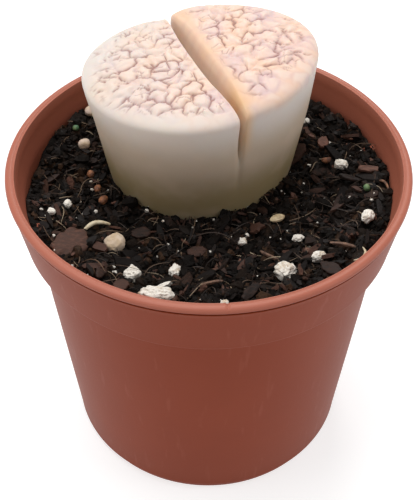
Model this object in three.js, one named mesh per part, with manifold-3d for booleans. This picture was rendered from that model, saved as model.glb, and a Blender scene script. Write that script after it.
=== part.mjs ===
// A living stone (a pair of fused succulent leaves) growing in a small round nursery pot.
// Millimetres, +Z up. The origin is the middle of the pot's foot, and -Y is the front.

import * as THREE from 'three';
import { mergeVertices } from 'three/addons/utils/BufferGeometryUtils.js';
import Module from 'manifold-3d';

const wasm = await Module();
wasm.setup();

// The pot
const potHeight = 48;
const lipRadius = 27.5;
const lipWidth = 1.3;
const collarHeight = 9;
const collarBottomRadius = 25.9;
const bodyTopRadius = 24.4;
const bodyBottomRadius = 20.9;
const wall = 0.9;
const footRadius = 20.2;
const footWidth = 1.4;
const footHeight = 1.4;
const baseTop = 2.8;
const footGapAngles = [-37, 143];
const footGapWidth = 6;
const drainHoleCount = 6;
const drainHoleRadius = 1.6;
const drainHoleCircle = 13;
const ribAngles = [20, 110, 200, 290];
const ribDepth = 1.5;
const ribWidth = 0.8;
const ribTop = 43.5;
const roundSegments = 48;

// The potting mix
const gap = 0.3;
const mixLevel = 41.9;
const mixRiseAtWall = 2.2;
const mixTopRadius = 25.15;

// The living stone
const stoneCentre = { x: -1.2, y: 7.1 };
const stoneHalfLength = 16.7;
const stoneHalfDepth = 13.6;
const stoneTurn = 23;
const stoneWidestHeight = 58.4;
const stoneTopHeight = 60.8;
const stoneTiltRight = 0.035;
const stoneTiltForward = 0.025;
const neckHeight = 36;
const neckShare = 0.5;
const rootTipHeight = 16;
const fissureWidth = 1.7;
const fissureBow = 0.5;
const fissureFloor = 53.5;

const degree = Math.PI / 180;

const finishes = {
  pot: { color: 0x9a4a38, roughness: 0.5 },
  mix: { color: 0x2a1d16, roughness: 0.97 },
  stone: { color: 0xd9c4b4, roughness: 0.55 },
  perlite: { color: 0xe9e3d6, roughness: 0.9 },
  pebble: { color: 0xcdbb9c, roughness: 0.8 },
  bark: { color: 0x5b3a2c, roughness: 0.9 },
  wood: { color: 0x7d5a3c, roughness: 0.85 },
  husk: { color: 0xd8c398, roughness: 0.6 },
  greenPrill: { color: 0x4d7350, roughness: 0.5 },
  orangePrill: { color: 0xa8602c, roughness: 0.6 },
};

const object = new THREE.Group();

// Adds one named piece to the object, at its place.
function addPiece(name, geometry, finish, place = new THREE.Matrix4()) {
  const material = new THREE.MeshStandardMaterial({ ...finishes[finish], metalness: 0 });
  const mesh = new THREE.Mesh(geometry, material);
  mesh.name = name;
  place.decompose(mesh.position, mesh.quaternion, mesh.scale);
  object.add(mesh);
}

// The shared-vertex form of a geometry, with no triangle that has lost a side.
function weld(geometry) {
  const bare = geometry.clone();
  bare.deleteAttribute('normal');
  bare.deleteAttribute('uv');
  const merged = mergeVertices(bare, 1e-4);
  const corners = [];
  for (let i = 0; i < merged.index.count; i += 3) {
    const [a, b, c] = merged.index.array.slice(i, i + 3);
    if (a !== b && b !== c && c !== a) {
      corners.push(a, b, c);
    }
  }
  merged.setIndex(corners);
  return merged;
}

function toSolid(geometry) {
  const merged = weld(geometry);
  return new wasm.Manifold(new wasm.Mesh({
    numProp: 3,
    vertProperties: new Float32Array(merged.attributes.position.array),
    triVerts: new Uint32Array(merged.index.array),
  }));
}

function toGeometry(solid) {
  const mesh = solid.getMesh();
  const geometry = new THREE.BufferGeometry();
  geometry.setAttribute('position', new THREE.BufferAttribute(mesh.vertProperties, 3));
  geometry.setIndex(new THREE.BufferAttribute(mesh.triVerts, 1));
  geometry.computeVertexNormals();
  return geometry;
}

// A solid of revolution about +Z from [radius, height] points that start and end on the axis.
function turned(profile) {
  const points = profile.map(([radius, height]) => new THREE.Vector2(radius, height));
  const geometry = new THREE.LatheGeometry(points, roundSegments);
  return geometry.rotateX(Math.PI / 2);
}

// Moves every vertex of a geometry by a rule that changes the vector it is given.
function reshape(geometry, rule) {
  const position = geometry.attributes.position;
  const point = new THREE.Vector3();
  for (let i = 0; i < position.count; i += 1) {
    point.fromBufferAttribute(position, i);
    rule(point);
    position.setXYZ(i, point.x, point.y, point.z);
  }
  return geometry;
}

// A block from the pot's inside towards its middle, at an angle round the pot.
function ribBlock(angle, clearance) {
  const depth = ribDepth + wall / 2;
  const bottom = potHeight - collarHeight;
  const height = ribTop - bottom;
  const block = new THREE.BoxGeometry(depth + clearance, ribWidth + 2 * clearance, height + clearance);
  const outer = collarBottomRadius - wall / 2;
  block.translate(outer - (depth + clearance) / 2, 0, bottom + (height + clearance) / 2);
  return block.rotateZ(angle * degree);
}

function makePot() {
  const collarBottom = potHeight - collarHeight;
  const profile = [
    [0, footHeight],
    [footRadius - footWidth, footHeight],
    [footRadius - footWidth, 0],
    [footRadius, 0],
    [footRadius + 0.4, 0.5],
    [bodyBottomRadius, 1.7],
    [bodyTopRadius, collarBottom - 0.2],
    [bodyTopRadius + 0.2, collarBottom],
    [collarBottomRadius - 0.1, collarBottom],
    [collarBottomRadius, collarBottom + 0.2],
    [lipRadius - 0.25, potHeight - 1.25],
    [lipRadius - 0.5, potHeight - 1],
    [lipRadius, potHeight - 0.6],
    [lipRadius - 0.1, potHeight - 0.2],
    [lipRadius - 0.35, potHeight],
    [lipRadius - lipWidth + 0.15, potHeight],
    [lipRadius - lipWidth, potHeight - 0.3],
    [lipRadius - lipWidth - 0.3, potHeight - 1.2],
    [collarBottomRadius - 0.7, collarBottom + 1.3],
    [bodyTopRadius - 0.4, collarBottom + 0.6],
    [bodyTopRadius - wall, collarBottom - 0.4],
    [bodyBottomRadius - wall, baseTop + 1.4],
    [bodyBottomRadius - wall - 1, baseTop],
    [0, baseTop],
  ];
  let solid = toSolid(turned(profile));
  for (const angle of ribAngles) {
    solid = solid.add(toSolid(ribBlock(angle, 0)));
  }
  for (const angle of footGapAngles) {
    const cutter = new THREE.BoxGeometry(2 * footWidth + 1, footGapWidth, 2 * footHeight);
    cutter.translate(footRadius, 0, 0);
    solid = solid.subtract(toSolid(cutter.rotateZ(angle * degree)));
  }
  for (let i = 0; i < drainHoleCount; i += 1) {
    const drill = new THREE.CylinderGeometry(drainHoleRadius, drainHoleRadius, 2 * baseTop, 12);
    drill.rotateX(Math.PI / 2);
    drill.translate(drainHoleCircle, 0, baseTop / 2);
    solid = solid.subtract(toSolid(drill.rotateZ((i * 360 / drainHoleCount) * degree)));
  }
  return toGeometry(solid);
}

// How high the mix stands at a place: level round the plant, higher at the wall, hollow at the left.
function mixHeight(x, y) {
  const radius = Math.hypot(x, y);
  const towardsWall = THREE.MathUtils.smoothstep(radius, 14, 24);
  const hollow = 3 * Math.exp(-((x + 21.5) ** 2 + (y - 2) ** 2) / 22);
  const bumps = 0.35 * Math.sin(0.9 * x + 1.3) * Math.cos(1.1 * y) + 0.25 * Math.sin(1.7 * x - 0.8 * y);
  return mixLevel + mixRiseAtWall * towardsWall - hollow + bumps;
}

// One unit outline of the living stone: [share of the full radius, height], from root tip to crown.
function stoneOutline() {
  const outline = [[0, rootTipHeight], [0.06, rootTipHeight + 1], [0.14, neckHeight - 6]];
  outline.push([0.3, neckHeight - 2]);
  const flankSteps = 7;
  for (let i = 0; i <= flankSteps; i += 1) {
    const along = i / flankSteps;
    const bulge = Math.sqrt(Math.sin(along * Math.PI / 2));
    outline.push([neckShare + (1 - neckShare) * bulge, neckHeight + along * (stoneWidestHeight - neckHeight)]);
  }
  for (const share of [0.98, 0.94, 0.86, 0.72, 0.5, 0.25, 0]) {
    const rise = (1 - share ** 4) ** 0.45;
    outline.push([share, stoneWidestHeight + (stoneTopHeight - stoneWidestHeight) * rise]);
  }
  return outline;
}

// The body at full size, or larger all round by a clearance.
function stoneBody(clearance) {
  const turn = stoneTurn * degree;
  const body = turned(stoneOutline());
  return reshape(body, (point) => {
    const long = point.x * (stoneHalfLength + clearance / neckShare);
    const deep = point.y * (stoneHalfDepth + clearance / neckShare);
    const lean = THREE.MathUtils.smoothstep(point.z, neckHeight, stoneWidestHeight);
    point.z += lean * (stoneTiltRight * long - stoneTiltForward * deep) - (1 - lean) * clearance;
    point.x = stoneCentre.x + long * Math.cos(turn) - deep * Math.sin(turn);
    point.y = stoneCentre.y + long * Math.sin(turn) + deep * Math.cos(turn);
  });
}

// The slit between the two leaves: a thin upright blade that bends a little on its way across.
function fissureBlade() {
  const reach = stoneHalfDepth + 4;
  const steps = 10;
  const blade = new THREE.Shape();
  const side = (along, half) => [half + fissureBow * Math.cos(along / reach * Math.PI / 2), along];
  for (let i = 0; i <= steps; i += 1) {
    const along = -reach + (2 * reach * i) / steps;
    const [x, y] = side(along, fissureWidth / 2);
    if (i === 0) {
      blade.moveTo(x, y);
    } else {
      blade.lineTo(x, y);
    }
  }
  for (let i = steps; i >= 0; i -= 1) {
    const along = -reach + (2 * reach * i) / steps;
    blade.lineTo(...side(along, -fissureWidth / 2));
  }
  const geometry = new THREE.ExtrudeGeometry(blade, { depth: 20, bevelEnabled: false });
  geometry.rotateZ(stoneTurn * degree);
  return geometry.translate(stoneCentre.x, stoneCentre.y, fissureFloor);
}

function makeStone() {
  const body = toSolid(stoneBody(0));
  return toGeometry(body.subtract(toSolid(fissureBlade())));
}

// A number between -1 and 1 that is the same for the same place and seed.
function wobble(point, seed) {
  return Math.sin(3.1 * point.x + 1.7 * seed) * Math.cos(2.7 * point.y - seed) * Math.sin(2.3 * point.z + 0.6 * seed);
}

// A rounded, slightly uneven lump.
function lump({ long, wide, high, seed, detail = 1 }) {
  const ball = new THREE.IcosahedronGeometry(1, detail);
  return reshape(ball, (point) => {
    const size = 0.94 + 0.12 * wobble(point, seed);
    point.set(point.x * size * long / 2, point.y * size * wide / 2, point.z * size * high / 2);
  });
}

// A flat chip with a broken outline.
function chip({ long, wide, high, seed }) {
  const outline = new THREE.Shape();
  const corners = 7;
  for (let i = 0; i < corners; i += 1) {
    const angle = (i / corners) * 2 * Math.PI;
    const size = 0.88 + 0.12 * Math.sin(2.3 * i + seed);
    const x = Math.cos(angle) * size * long / 2;
    const y = Math.sin(angle) * size * wide / 2;
    if (i === 0) {
      outline.moveTo(x, y);
    } else {
      outline.lineTo(x, y);
    }
  }
  const plate = new THREE.ExtrudeGeometry(outline, { depth: high, bevelEnabled: false });
  return plate.translate(0, 0, -high / 2);
}

// A bent thread or strip of oval section.
function thread({ long, wide, high, bend }) {
  const section = new THREE.Shape();
  section.absellipse(0, 0, high / 2, wide / 2, 0, 2 * Math.PI);
  const middle = new THREE.Vector3(0, bend, 0);
  const path = new THREE.QuadraticBezierCurve3(
    new THREE.Vector3(-long / 2, -bend / 2, 0),
    middle,
    new THREE.Vector3(long / 2, -bend / 2, 0),
  );
  return new THREE.ExtrudeGeometry(section, { steps: 5, curveSegments: 2, extrudePath: path });
}

// Loose pieces lying in the top of the mix. rise is the height of the piece's middle above the mix,
// turn is about +Z and tilt about the piece's own long side, both in degrees.
const loosePieces = [
  { name: 'perlite_01', x: -9.6, y: -16.8, long: 2.7, wide: 2.2, high: 2.0, turn: 60 },
  { name: 'perlite_02', x: -4.3, y: -15.4, long: 2.3, wide: 1.5, high: 1.6, turn: 70 },
  { name: 'perlite_03', x: -6.5, y: -21.3, long: 4.6, wide: 2.4, high: 2.2, turn: 5 },
  { name: 'perlite_04', x: -5.5, y: -18.9, long: 2.4, wide: 0.9, high: 0.9, turn: 30 },
  { name: 'perlite_05', x: 9.8, y: -16.0, long: 2.9, wide: 2.5, high: 2.3, turn: -40 },
  { name: 'perlite_06', x: 14.2, y: -13.4, long: 2.0, wide: 1.5, high: 1.4, turn: 10 },
  { name: 'perlite_07', x: 21.2, y: -6.8, long: 2.0, wide: 1.6, high: 1.6, turn: 80 },
  { name: 'perlite_08', x: 18.7, y: 5.0, long: 2.1, wide: 1.5, high: 1.4, turn: -10 },
  { name: 'perlite_09', x: 4.4, y: -9.8, long: 1.4, wide: 1.2, high: 1.1, turn: 0 },
  { name: 'perlite_10', x: 11.9, y: -9.3, long: 1.7, wide: 1.1, high: 1.1, turn: 15 },
  { name: 'perlite_11', x: 14.4, y: 14.6, long: 1.1, wide: 1.1, high: 1.0, turn: 0 },
  { name: 'perlite_12', x: 2.0, y: -22.8, long: 1.2, wide: 0.9, high: 0.8, turn: 20 },
  { name: 'perlite_13', x: -19.3, y: -3.3, long: 1.5, wide: 1.2, high: 1.1, turn: 50 },
  { name: 'perlite_14', x: -21.0, y: -6.4, long: 1.2, wide: 1.0, high: 0.9, turn: 0 },
  { name: 'pebble_01', x: -12.3, y: -10.7, long: 3.0, wide: 2.5, high: 2.4, turn: 40 },
  { name: 'pebble_02', x: -18.0, y: 8.8, long: 1.8, wide: 1.6, high: 1.4, turn: 0 },
  { name: 'pebble_03', x: -17.4, y: 15.2, long: 2.3, wide: 1.7, high: 1.5, turn: 40 },
  { name: 'bark_chip_01', x: -18.0, y: -11.8, long: 5.6, wide: 4.6, high: 1.1, turn: 35, tilt: 12 },
  { name: 'bark_chip_02', x: -9.0, y: -8.2, long: 3.0, wide: 1.9, high: 0.8, turn: 10, tilt: 15 },
  { name: 'bark_chip_03', x: 22.5, y: 3.4, long: 3.8, wide: 1.4, high: 0.8, turn: -5, tilt: 10 },
  { name: 'bark_chip_04', x: 19.6, y: 1.8, long: 3.2, wide: 1.3, high: 0.7, turn: -22, tilt: -12 },
  { name: 'bark_chip_05', x: -13.5, y: -17.4, long: 3.2, wide: 1.3, high: 0.7, turn: 75, tilt: 20 },
  { name: 'bark_chip_06', x: -10.9, y: -19.8, long: 2.3, wide: 1.5, high: 0.7, turn: 20, tilt: 10 },
  { name: 'bark_chip_07', x: 5.3, y: -20.2, long: 4.0, wide: 1.3, high: 0.7, turn: 50, tilt: 15 },
  { name: 'bark_chip_08', x: 16.4, y: 9.8, long: 2.6, wide: 1.7, high: 0.7, turn: 65, tilt: 12 },
  { name: 'bark_chip_09', x: -14.6, y: 18.2, long: 2.8, wide: 1.7, high: 0.8, turn: 25, tilt: 10 },
  { name: 'bark_chip_10', x: 15.4, y: -17.0, long: 3.0, wide: 2.0, high: 0.8, turn: -30, tilt: 12 },
  { name: 'bark_chip_11', x: -1.6, y: -11.6, long: 2.6, wide: 1.6, high: 0.8, turn: 15, tilt: 18 },
  { name: 'bark_chip_12', x: 8.6, y: 21.4, long: 3.0, wide: 1.8, high: 0.8, turn: -20, tilt: 10 },
  { name: 'wood_sliver_01', x: 17.6, y: -11.7, long: 4.2, wide: 0.6, high: 0.5, turn: -14, tilt: 0 },
  { name: 'wood_sliver_02', x: 0.4, y: -18.2, long: 3.8, wide: 0.6, high: 0.5, turn: 15, tilt: 0 },
  { name: 'wood_sliver_03', x: 8.2, y: -12.3, long: 4.0, wide: 0.6, high: 0.5, turn: -35, tilt: 0 },
  { name: 'root_fibre_01', x: -15.4, y: -6.6, long: 4.0, wide: 0.4, high: 0.4, turn: 25, bend: 1.2 },
  { name: 'root_fibre_02', x: 19.4, y: -14.0, long: 2.2, wide: 0.7, high: 0.5, turn: 60, bend: 0.9 },
  { name: 'curled_leaf', x: 24.0, y: 0.1, long: 1.9, wide: 0.9, high: 0.5, turn: -40, bend: 0.9 },
  { name: 'seed_husk', x: 9.3, y: -5.3, long: 2.3, wide: 1.2, high: 0.9, turn: 25, rise: 0.3 },
  { name: 'green_prill_01', x: -19.4, y: 11.4, long: 1.0, wide: 1.0, high: 1.0, turn: 0 },
  { name: 'green_prill_02', x: 21.7, y: -0.9, long: 1.0, wide: 1.0, high: 1.0, turn: 0 },
  { name: 'orange_prill_01', x: 16.9, y: 6.8, long: 1.5, wide: 0.9, high: 0.9, turn: 10 },
  { name: 'orange_prill_02', x: -15.6, y: 1.4, long: 1.5, wide: 1.1, high: 1.1, turn: 80 },
  { name: 'orange_prill_03', x: -14.6, y: -1.6, long: 1.5, wide: 1.1, high: 1.0, turn: 60 },
  { name: 'orange_prill_04', x: -16.9, y: 4.6, long: 1.4, wide: 1.0, high: 1.0, turn: 100 },
];

// Which shape and finish each kind of loose piece has.
const kinds = {
  perlite: { shape: lump, finish: 'perlite' },
  pebble: { shape: lump, finish: 'pebble' },
  bark_chip: { shape: chip, finish: 'bark' },
  wood_sliver: { shape: chip, finish: 'wood' },
  root_fibre: { shape: thread, finish: 'husk' },
  curled_leaf: { shape: thread, finish: 'bark' },
  seed_husk: { shape: lump, finish: 'husk' },
  green_prill: { shape: lump, finish: 'greenPrill' },
  orange_prill: { shape: lump, finish: 'orangePrill' },
};

function kindOf(piece) {
  return kinds[piece.name.replace(/_\d+$/, '')];
}

function pieceShape(piece, seed, clearance) {
  const larger = {
    ...piece,
    seed,
    long: piece.long + 2 * clearance,
    wide: piece.wide + 2 * clearance,
    high: piece.high + 2 * clearance,
  };
  return kindOf(piece).shape(larger);
}

function piecePlace(piece) {
  const { x, y, turn, tilt = 0, rise = 0.12 * piece.high } = piece;
  const place = new THREE.Matrix4().makeTranslation(x, y, mixHeight(x, y) + rise);
  place.multiply(new THREE.Matrix4().makeRotationZ(turn * degree));
  return place.multiply(new THREE.Matrix4().makeRotationX(tilt * degree));
}

// The mix fills the pot to just inside its wall, and is hollowed where the plant, the pot's ribs
// and the loose pieces sit in it.
function makeMix() {
  const step = potHeight - collarHeight;
  const profile = [
    [0, baseTop + gap],
    [bodyBottomRadius - wall - 1.3, baseTop + gap],
    [bodyBottomRadius - wall - 0.35, baseTop + 1.5],
    [bodyTopRadius - wall - 0.35, step - 0.3],
    [bodyTopRadius - 0.8, step + 0.8],
    [collarBottomRadius - 1.1, step + 1.6],
  ];
  const ringRadii = [mixTopRadius, 23, 20.5, 18, 15.5, 13, 10, 6.5, 3, 0];
  const surfaceMark = mixLevel + 2;
  for (const radius of ringRadii) {
    profile.push([radius, surfaceMark]);
  }
  const block = reshape(turned(profile), (point) => {
    if (point.z > surfaceMark - 0.01) {
      point.z = mixHeight(point.x, point.y);
    }
  });
  let solid = toSolid(block).subtract(toSolid(stoneBody(gap)));
  for (const angle of ribAngles) {
    solid = solid.subtract(toSolid(ribBlock(angle, gap)));
  }
  loosePieces.forEach((piece, index) => {
    const room = pieceShape(piece, index, gap).applyMatrix4(piecePlace(piece));
    solid = solid.subtract(toSolid(room));
  });
  return toGeometry(solid);
}

addPiece('pot', makePot(), 'pot');
addPiece('potting_mix', makeMix(), 'mix');
addPiece('living_stone', makeStone(), 'stone');
loosePieces.forEach((piece, index) => {
  const shape = weld(pieceShape(piece, index, 0));
  shape.computeVertexNormals();
  addPiece(piece.name, shape, kindOf(piece).finish, piecePlace(piece));
});

export default object;
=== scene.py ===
import math

import bpy
import numpy as np
from mathutils import Matrix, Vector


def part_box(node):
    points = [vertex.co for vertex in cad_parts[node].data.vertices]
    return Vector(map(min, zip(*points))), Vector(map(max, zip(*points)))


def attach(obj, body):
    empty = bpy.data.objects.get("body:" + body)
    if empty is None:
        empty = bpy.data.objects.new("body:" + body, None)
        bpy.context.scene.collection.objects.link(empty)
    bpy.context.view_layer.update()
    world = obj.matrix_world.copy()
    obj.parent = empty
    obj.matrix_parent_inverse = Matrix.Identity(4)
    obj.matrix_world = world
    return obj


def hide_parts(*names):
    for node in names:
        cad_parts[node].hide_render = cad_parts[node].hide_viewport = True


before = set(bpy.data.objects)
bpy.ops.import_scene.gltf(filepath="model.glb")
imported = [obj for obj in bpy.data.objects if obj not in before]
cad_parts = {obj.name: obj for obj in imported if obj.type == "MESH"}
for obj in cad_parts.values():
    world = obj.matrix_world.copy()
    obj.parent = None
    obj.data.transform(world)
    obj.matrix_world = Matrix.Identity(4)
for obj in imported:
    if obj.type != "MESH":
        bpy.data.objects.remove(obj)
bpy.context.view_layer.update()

scene = bpy.context.scene
scene.view_settings.view_transform = "Standard"
metre = 1000.0  # millimetres in one: everything below is worked out in millimetres
turnFull = 2 * math.pi


def ramp(values, low, high):
    # 0 below low, 1 above high, an S curve between
    share = np.clip((values - low) / (high - low), 0, 1)
    return share * share * (3 - 2 * share)


def bell(values, width):
    return np.exp(-(values / width) ** 2)


def cellHash(corner, seed):
    # a number from 0 to 1 for each whole-number cell (n x 3), the same every run
    cell = corner.astype(np.int64)
    mixed = cell[..., 0] * 73856093 ^ cell[..., 1] * 19349663 ^ cell[..., 2] * 83492791 ^ (seed * 2654435761)
    mixed = (mixed ^ (mixed >> 13)) & 0xffffffff
    mixed = (mixed * 1274126177) & 0xffffffff
    mixed = ((mixed ^ (mixed >> 16)) * 668265263) & 0xffffffff
    return ((mixed ^ (mixed >> 15)) & 0xfffff) / 0xfffff


def noise(points, size, seed=1):
    # smooth noise from -1 to 1 whose lumps are about size millimetres: cell corners blended
    place = points / size
    corner = np.floor(place)
    inside = place - corner
    blend = inside * inside * (3 - 2 * inside)
    total = 0
    for offset in np.ndindex(2, 2, 2):
        weight = np.abs(1 - np.array(offset) - blend).prod(-1)
        total = total + weight * cellHash(corner + offset, seed)
    return 2 * total - 1


def fractal(points, size, seed=1, octaves=4):
    # noise at halving sizes, each with half the height of the one before
    total = 0
    for octave in range(octaves):
        total = total + noise(points, size / 2 ** octave, seed + octave) / 2 ** octave
    return total / 1.6


def pebbleCells(points, size, seed=1, flat=False):
    # distance to the nearest and second nearest scattered point, in cells, and the nearest one's own number
    place = points / size
    corner = np.floor(place)
    near = np.full(place.shape[:-1], 9.0)
    second = near.copy()
    tone = np.zeros_like(near)
    sides = 2 if flat else 3
    for offset in np.ndindex(3, 3, 1 if flat else 3):
        cell = corner + offset - (1, 1, 0 if flat else 1)
        spot = cell + np.stack([cellHash(cell, seed + k) for k in (1, 2, 3)], -1) * 0.9 + 0.05
        away = (place - spot)[..., :sides]
        distance = np.sqrt((away ** 2).sum(-1))
        closer = distance < near
        second = np.where(closer, near, np.minimum(second, distance))
        tone = np.where(closer, cellHash(cell, seed + 7), tone)
        near = np.where(closer, distance, near)
    return near, second, tone


def gridQuads(rows, columns, wrapColumns=False):
    # the faces of a rows x columns grid of points, row after row, with the last column joined to the first
    across = columns if wrapColumns else columns - 1
    row, column = np.meshgrid(np.arange(rows - 1), np.arange(across), indexing="ij")
    right = (column + 1) % columns
    quads = np.stack([row * columns + column, row * columns + right,
                      (row + 1) * columns + right, (row + 1) * columns + column], -1)
    return quads.reshape(-1, 4)


def fan(loop, centre):
    # triangles from a closed loop of point numbers to one point
    return np.stack([loop, np.roll(loop, -1), np.full(len(loop), centre)], -1)


def makeMesh(name, points, faceGroups, marks=None, smooth=True):
    # points in millimetres (n x 3); faceGroups is a list of arrays of quads or triangles
    mesh = bpy.data.meshes.new(name)
    mesh.vertices.add(len(points))
    mesh.vertices.foreach_set("co", (np.asarray(points) / metre).astype(np.float32).ravel())
    corners = np.concatenate([group.ravel() for group in faceGroups]).astype(np.int32)
    sizes = np.concatenate([np.full(len(group), group.shape[1], np.int32) for group in faceGroups])
    starts = np.concatenate([[0], np.cumsum(sizes)[:-1]]).astype(np.int32)
    mesh.loops.add(len(corners))
    mesh.loops.foreach_set("vertex_index", corners)
    mesh.polygons.add(len(sizes))
    mesh.polygons.foreach_set("loop_start", starts)
    mesh.polygons.foreach_set("use_smooth", np.full(len(sizes), smooth))
    for mark, values in (marks or {}).items():
        attribute = mesh.attributes.new(mark, "FLOAT", "POINT")
        attribute.data.foreach_set("value", np.asarray(values, np.float32).ravel())
    mesh.update(calc_edges=True)
    mesh.validate()
    piece = bpy.data.objects.new(name, mesh)
    scene.collection.objects.link(piece)
    return piece


def finishPiece(piece, material, slot, *nodes):
    piece.data.materials.clear()
    piece.data.materials.append(material)
    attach(piece, "root")
    if nodes:
        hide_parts(*nodes)
    return piece


def nodeBox(node):
    low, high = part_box(node)
    return np.array(low) * metre, np.array(high) * metre


class Wire:
    # a shader socket that can be written in sums

    def __init__(self, tree, socket):
        self.tree = tree
        self.socket = socket

    def sum(self, operation, first, second=None, clamp=False):
        node = self.tree.nodes.new("ShaderNodeMath")
        node.operation = operation
        node.use_clamp = clamp
        for place, value in enumerate((first, second)):
            if isinstance(value, Wire):
                self.tree.links.new(value.socket, node.inputs[place])
            elif value is not None:
                node.inputs[place].default_value = value
        return Wire(self.tree, node.outputs[0])

    def __add__(self, other):
        return self.sum("ADD", self, other)

    def __radd__(self, other):
        return self.sum("ADD", other, self)

    def __sub__(self, other):
        return self.sum("SUBTRACT", self, other)

    def __rsub__(self, other):
        return self.sum("SUBTRACT", other, self)

    def __mul__(self, other):
        return self.sum("MULTIPLY", self, other)

    def __rmul__(self, other):
        return self.sum("MULTIPLY", other, self)

    def __pow__(self, other):
        return self.sum("POWER", self, other)

    def clamped(self):
        return self.sum("ADD", self, 0.0, clamp=True)


class Finish:
    # a material being built: node() adds any node, shade() sets the surface

    def __init__(self, name):
        self.material = bpy.data.materials.new(name)
        self.material.use_nodes = True
        self.tree = self.material.node_tree
        self.surface = self.tree.nodes["Principled BSDF"]
        self.place = self.node("ShaderNodeTexCoord", output="Object")

    def node(self, kind, settings=None, inputs=None, output=0):
        node = self.tree.nodes.new(kind)
        for key, value in (settings or {}).items():
            if key == "stops":
                self.setStops(node.color_ramp, value)
            else:
                setattr(node, key, value)
        self.fill(node, inputs or {})
        return Wire(self.tree, node.outputs[output])

    def setStops(self, colorRamp, stops):
        while len(colorRamp.elements) < len(stops):
            colorRamp.elements.new(0.5)
        for element, (position, colour) in zip(colorRamp.elements, stops):
            element.position = position
            element.color = (*colour, 1)

    def fill(self, node, inputs):
        for key, value in inputs.items():
            if isinstance(value, Wire):
                self.tree.links.new(value.socket, node.inputs[key])
            elif isinstance(value, tuple) and len(value) == 3 and node.inputs[key].type == "RGBA":
                node.inputs[key].default_value = (*value, 1)
            else:
                node.inputs[key].default_value = value

    def mark(self, name):
        return self.node("ShaderNodeAttribute", {"attribute_name": name}, output="Fac")

    def spots(self, size, detail=3.0, roughness=0.55):
        # noise from 0 to 1 with lumps about size millimetres
        inputs = {"Vector": self.place, "Scale": metre / size, "Detail": detail, "Roughness": roughness}
        return self.node("ShaderNodeTexNoise", None, inputs)

    def spread(self, value, low, high):
        settings = {"interpolation_type": "SMOOTHSTEP"}
        return self.node("ShaderNodeMapRange", settings, {"Value": value, "From Min": low, "From Max": high})

    def mix(self, factor, first, second):
        return self.node("ShaderNodeMix", {"data_type": "RGBA"}, {0: factor, 6: first, 7: second}, output=2)

    def bump(self, height, strength, depth, under=None):
        inputs = {"Height": height, "Strength": strength, "Distance": depth / metre}
        if under is not None:
            inputs["Normal"] = under
        return self.node("ShaderNodeBump", None, inputs)

    def shade(self, inputs):
        self.fill(self.surface, inputs)
        return self.material


cameraForm = {"place": (0.0, -110.9, 140.0), "pitch": 45.48, "roll": 0.393, "lens": 76.4}

camera = bpy.data.objects.new("camera", bpy.data.cameras.new("camera"))
camera.data.lens = cameraForm["lens"]
camera.data.clip_start = 0.005
camera.matrix_world = (Matrix.Translation([value / metre for value in cameraForm["place"]])
                       @ Matrix.Rotation(math.radians(cameraForm["pitch"]), 4, "X")
                       @ Matrix.Rotation(math.radians(cameraForm["roll"]), 4, "Z"))
scene.collection.objects.link(camera)
scene.camera = camera

studio = {
    "sky": 0.35,
    "lamps": [
        # name, place, size, watts
        ("top_lamp", (-60, 60, 420), 300, 1.15),
        ("back_lamp", (20, 330, 330), 160, 0.42),
        ("left_lamp", (-420, -120, 200), 260, 0.42),
        ("right_lamp", (420, -80, 220), 260, 0.44),
    ],
}


def makeLamp(name, place, size, watts):
    lamp = bpy.data.objects.new(name, bpy.data.lights.new(name, "AREA"))
    lamp.data.shape = "DISK"
    lamp.data.size = size / metre
    lamp.data.energy = watts
    where = Matrix.Translation([value / metre for value in place]).to_translation()
    aim = where - Matrix.Translation((0, 0, 0.04)).to_translation()
    lamp.matrix_world = Matrix.Translation(where) @ aim.to_track_quat("Z", "Y").to_matrix().to_4x4()
    scene.collection.objects.link(lamp)


for lampFacts in studio["lamps"]:
    makeLamp(*lampFacts)

world = bpy.data.worlds.new("studio")
world.use_nodes = True
world.node_tree.nodes["Background"].inputs["Color"].default_value = (1, 1, 1, 1)
world.node_tree.nodes["Background"].inputs["Strength"].default_value = studio["sky"]
scene.world = world

floorSide = 3000
floorCorners = np.array([(-1, -1, 0), (1, -1, 0), (1, 1, 0), (-1, 1, 0)]) * floorSide
floor = makeMesh("floor", floorCorners - (0, 0, 0.02), [np.array([[0, 1, 2, 3]])])
floorFinish = Finish("white_table")
floor.data.materials.append(floorFinish.shade({"Base Color": (0.55, 0.55, 0.55, 1), "Roughness": 0.7,
                                               "Specular IOR Level": 0.1, "Emission Strength": 0.68,
                                               "Emission Color": (1, 1, 1, 1)}))
print("stage ready")


stoneForm = {
    "rows": 305,  # along the slit, front to back
    "columns": 305,  # across the slit
    "centre": (-1.04, 7.17),
    "turn": 23.1,
    "halfLength": 16.5,
    "halfDepth": 13.4,
    "crown": 60.2,
    "widest": 58.46,
    "neck": 36.0,
    "neckShare": 0.765,
    "crownPower": 4.05,
    "leanBack": -0.025,
    "leanRight": 0.035,
    "lobeStep": 0.88,  # how much higher the right leaf stands
    "slitFloor": 53.0,
    "slitBow": -0.55,
    "slitLeft": 0.8,
    "slitRight": 1.7,
    "island": 2.15,
    "islandHeight": 0.42,
    "lineDepth": 0.12,
}


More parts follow.
